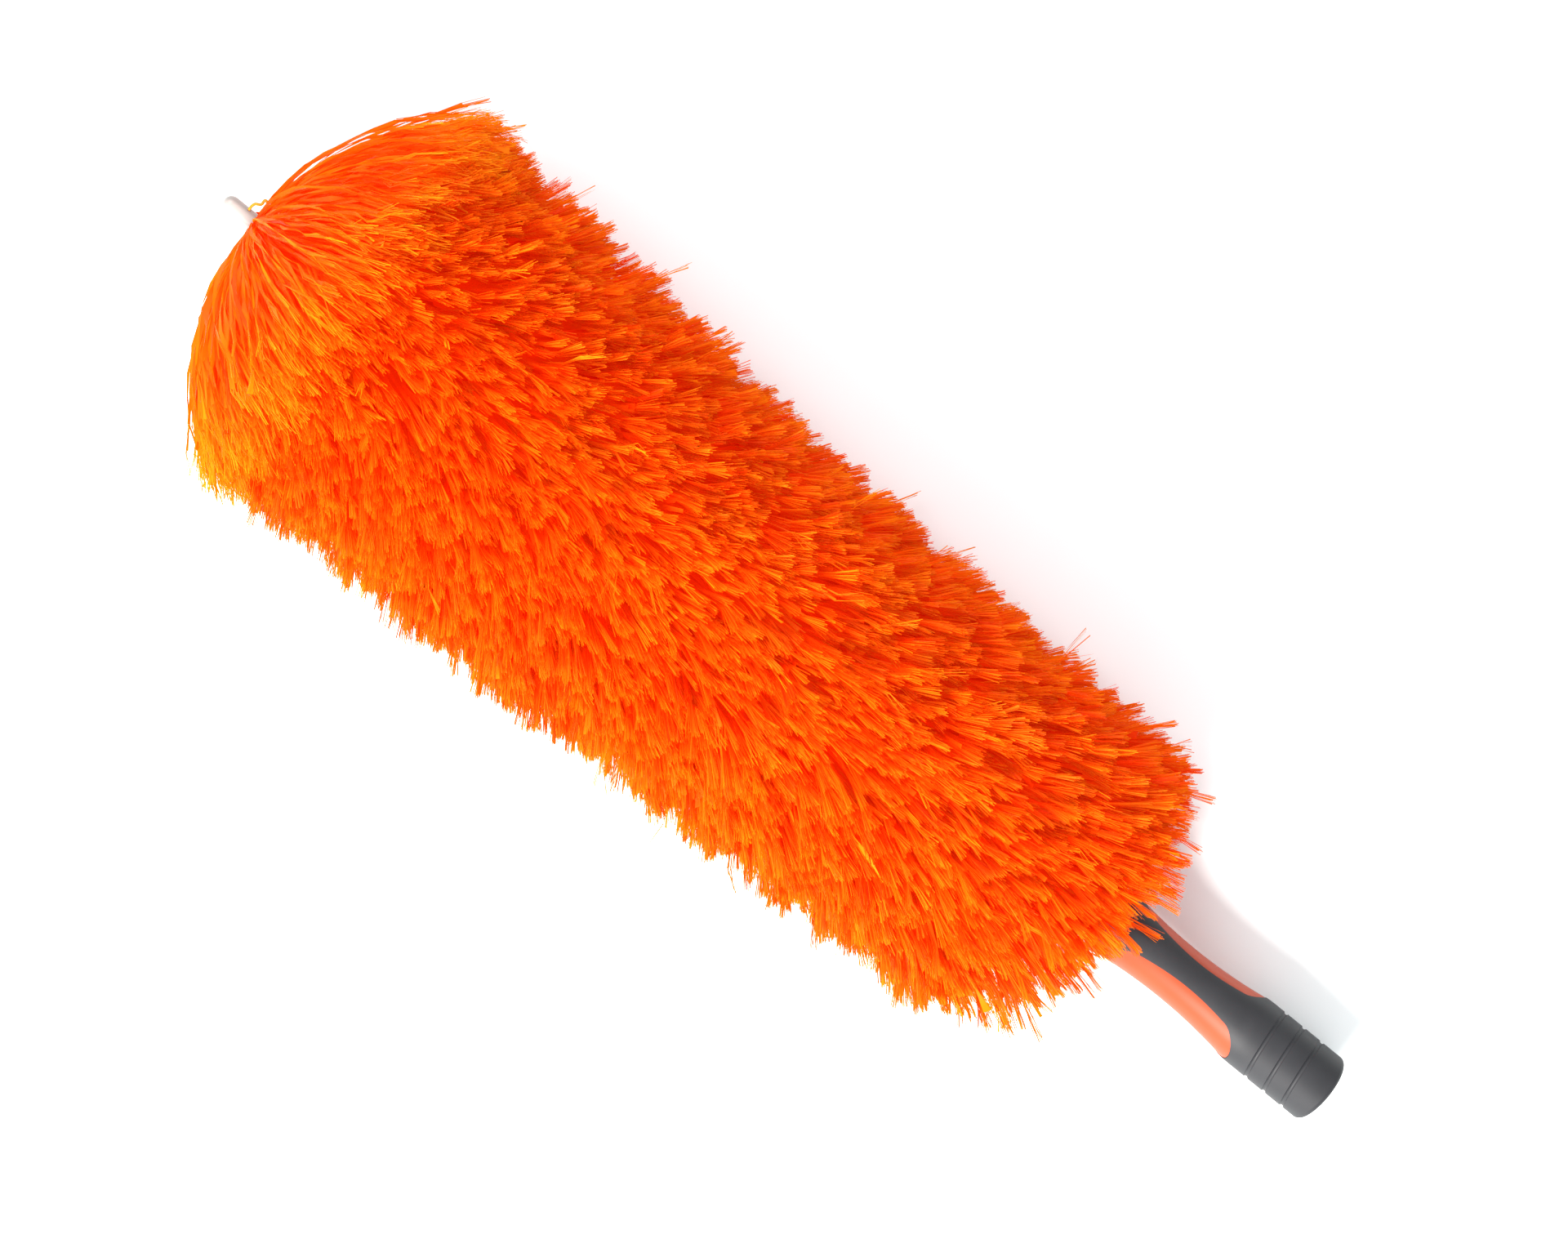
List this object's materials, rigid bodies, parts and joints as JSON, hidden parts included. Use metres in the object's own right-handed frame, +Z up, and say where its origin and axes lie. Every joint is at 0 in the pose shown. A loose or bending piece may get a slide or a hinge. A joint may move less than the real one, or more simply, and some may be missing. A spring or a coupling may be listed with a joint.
{
  "type": "feather duster",
  "caption": "Long cylindrical feather duster: orange synthetic fringe wound on a bendable white rod, with a two-colour moulded grip that has a pole socket.",
  "frame": {"origin": "centre of the duster's footprint on the table that it lies on, at table height", "axes": "+X along the duster from the grip to the tip, level; +Z up; the shaft leans 5 degrees up towards the tip"},
  "size_m": [0.6938, 0.216, 0.179],
  "materials": {
    "soft_grip": "matt soft-touch moulding with a faint sheen",
    "grip_core": "satin moulded coral orange",
    "screw_steel": "bright zinc plate",
    "binding_thread": "twisted thread",
    "rod_sheath": "smooth extruded white",
    "rod_wire": "annealed",
    "fringe_tape": "woven tape",
    "fringe": "fine flat synthetic strands with frayed ends"
  },
  "bodies": {
    "handle": {"grip_sleeve": "soft_grip", "grip_core": "grip_core", "neck_plug": "grip_core", "neck_screw": "screw_steel", "neck_binding": "binding_thread", "rod_sheath_base": "rod_sheath", "rod_wire_base": "rod_wire", "fringe_tape_base": "fringe_tape", "fringe_base": "fringe"},
    "head_lower": {"rod_sheath_lower": "rod_sheath", "rod_wire_lower": "rod_wire", "fringe_tape_lower": "fringe_tape", "fringe_lower": "fringe", "fringe_fold_1": "fringe"},
    "head_upper": {"rod_sheath_upper": "rod_sheath", "rod_wire_upper": "rod_wire", "fringe_tape_upper": "fringe_tape", "fringe_upper": "fringe", "fringe_fold_2": "fringe"},
    "head_tip": {"rod_sheath_tip": "rod_sheath", "rod_wire_tip": "rod_wire", "fringe_tape_tip": "fringe_tape", "fringe_tip": "fringe", "fringe_fold_3": "fringe", "tip_binding": "binding_thread"}
  },
  "joints": [
    {"name": "rod_bend_1", "type": "hinge", "parent": "handle", "child": "head_lower", "pos_m": [-0.07152, 0, 0.04258], "axis": [0, 0, 1], "range_deg": [-25, 25], "deforming": ["fringe_fold_1"]},
    {"name": "rod_bend_2", "type": "hinge", "parent": "head_lower", "child": "head_upper", "pos_m": [0.06297, 0, 0.05434], "axis": [0, 0, 1], "range_deg": [-25, 25], "deforming": ["fringe_fold_2"]},
    {"name": "rod_bend_3", "type": "hinge", "parent": "head_upper", "child": "head_tip", "pos_m": [0.19745, 0, 0.06611], "axis": [0, 0, 1], "range_deg": [-25, 25], "deforming": ["fringe_fold_3"]}
  ]
}
